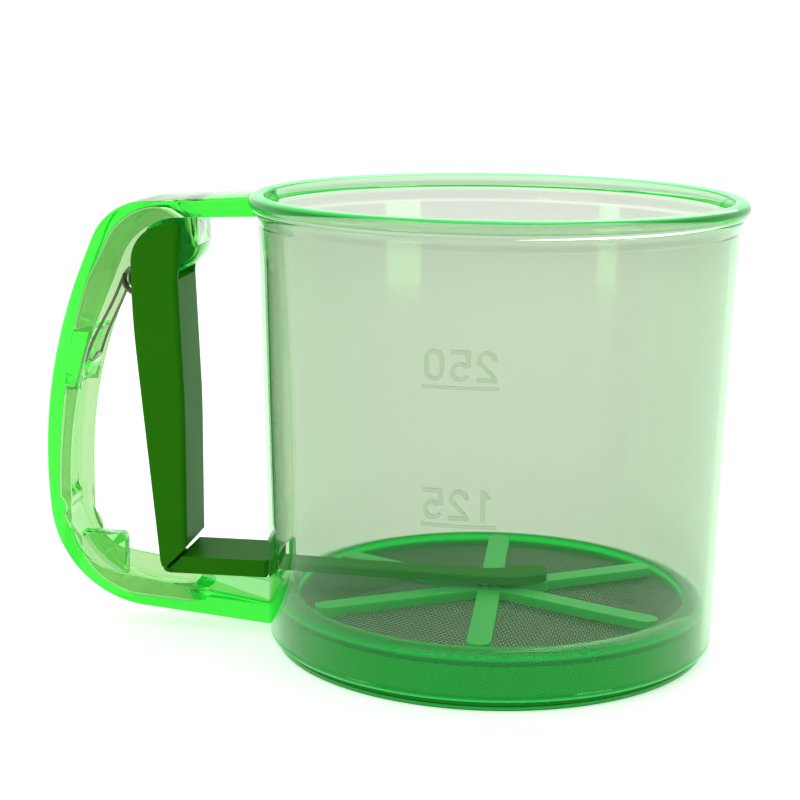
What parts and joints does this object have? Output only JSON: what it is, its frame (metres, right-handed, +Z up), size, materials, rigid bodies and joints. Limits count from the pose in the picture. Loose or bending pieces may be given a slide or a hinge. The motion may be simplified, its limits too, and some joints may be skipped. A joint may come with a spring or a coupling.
{
  "type": "flour_sifter",
  "caption": "Hand-held flour sifter: clear green tapered cup with a mesh floor, a star agitator and a D handle with a sprung squeeze trigger",
  "frame": {"origin": "centre of the foot that the sifter stands on, on the cup's axis", "axes": "+Z up along the cup's axis; +X from the handle towards the cup, so the handle points to -X; +Y to the left of a person looking along +X"},
  "size_m": [0.1496, 0.105, 0.0971],
  "materials": {
    "clear_green": "see-through pale green moulding, polished, bright green where seen edge on",
    "ring_green": "saturated green moulding, slightly see-through",
    "mint_green": "mint green moulding, satin",
    "dark_green": "dark green moulding, satin, draws light at thin edges",
    "mesh_steel": "plain-woven stainless wire",
    "rivet_steel": "plain bright steel",
    "spring_steel": "drawn spring wire, slightly oiled"
  },
  "bodies": {
    "root": {"cup_wall": "clear_green", "rim_bead": "clear_green", "volume_marks": "clear_green", "base_ring": "ring_green", "mesh_screen": "mesh_steel", "pivot_rivet": "rivet_steel", "rivet_washer": "rivet_steel", "handle_grip": "clear_green", "pivot_hanger": "clear_green", "stop_lug": "clear_green", "spring_seat": "clear_green", "return_spring": "spring_steel"},
    "trigger": {"trigger_lever": "dark_green", "spring_post": "dark_green"},
    "drive_arm": {"drive_arm": "dark_green", "drive_peg": "dark_green", "living_hinge": "dark_green"},
    "star": {"star_agitator": "mint_green"}
  },
  "joints": [
    {"name": "trigger", "type": "hinge", "parent": "root", "child": "trigger", "pos_m": [-0.0695, 0, 0.0852], "axis": [0, 1, 0], "range_deg": [0, 8], "stiffness_Nm_per_rad": 1.4, "springref_deg": -8.02, "deforming": ["return_spring"]},
    {"name": "arm_fold", "type": "hinge", "parent": "trigger", "child": "drive_arm", "pos_m": [-0.0706, 0, 0.0139], "axis": [0, 1, 0], "range_deg": [-7.5, 0], "deforming": ["living_hinge"]},
    {"name": "star_turn", "type": "hinge", "parent": "root", "child": "star", "pos_m": [0, 0, 0.0101], "axis": [0, 0, 1], "range_deg": [0, 62.5]}
  ],
  "couplings": [
    {"joint": "arm_fold", "follows": "trigger", "ratio": -0.927},
    {"joint": "star_turn", "follows": "trigger", "ratio": 7.75}
  ]
}
